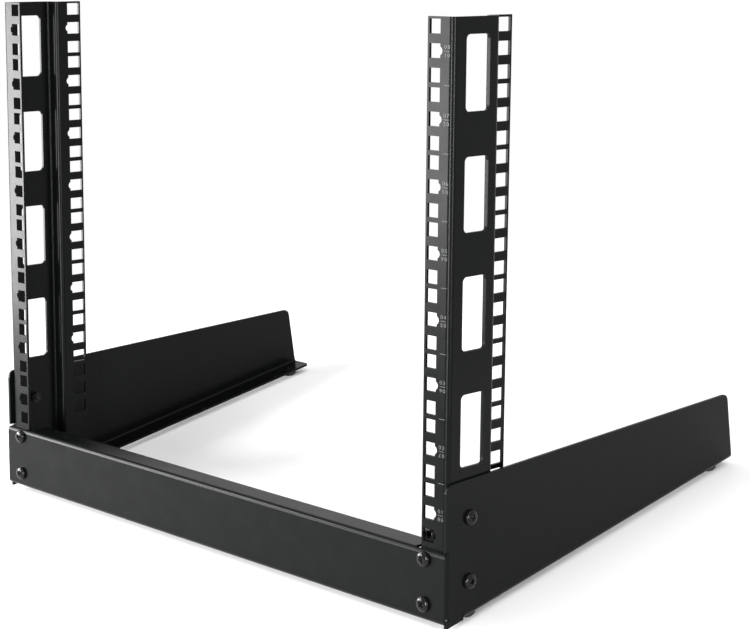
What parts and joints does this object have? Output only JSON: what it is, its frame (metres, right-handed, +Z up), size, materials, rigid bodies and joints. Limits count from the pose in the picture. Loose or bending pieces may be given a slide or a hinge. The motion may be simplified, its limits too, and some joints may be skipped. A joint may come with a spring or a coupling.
{
  "type": "two post open frame rack",
  "caption": "Low desktop rack frame: two perforated folded posts leaning back on a base of a front beam and two side arms with feet.",
  "frame": {"origin": "on the floor, under the middle of the whole frame", "axes": "+X along the front beam towards the right post as seen from the front, +Y to the back, +Z up"},
  "size_m": [0.5088, 0.3444, 0.4103],
  "materials": {
    "powder_coat": "fine textured black powder coat, semi gloss",
    "black_steel": "gloss black, on screws, nuts and rivets",
    "rubber": "matte"
  },
  "bodies": {
    "root": {"front_beam": "powder_coat", "left_arm": "powder_coat", "left_arm_nut_high": "black_steel", "left_arm_nut_low": "black_steel", "left_arm_screw_high": "black_steel", "left_arm_screw_low": "black_steel", "left_beam_nut_high": "black_steel", "left_beam_nut_low": "black_steel", "left_beam_screw_high": "black_steel", "left_beam_screw_low": "black_steel", "left_foot_front": "rubber", "left_foot_rear": "rubber", "left_post": "powder_coat", "left_rivet_front": "black_steel", "left_rivet_rear": "black_steel", "right_arm": "powder_coat", "right_arm_nut_high": "black_steel", "right_arm_nut_low": "black_steel", "right_arm_screw_high": "black_steel", "right_arm_screw_low": "black_steel", "right_beam_nut_high": "black_steel", "right_beam_nut_low": "black_steel", "right_beam_screw_high": "black_steel", "right_beam_screw_low": "black_steel", "right_cage_nut": "black_steel", "right_foot_front": "rubber", "right_foot_rear": "rubber", "right_post": "powder_coat", "right_rivet_front": "black_steel", "right_rivet_rear": "black_steel"}
  },
  "joints": []
}
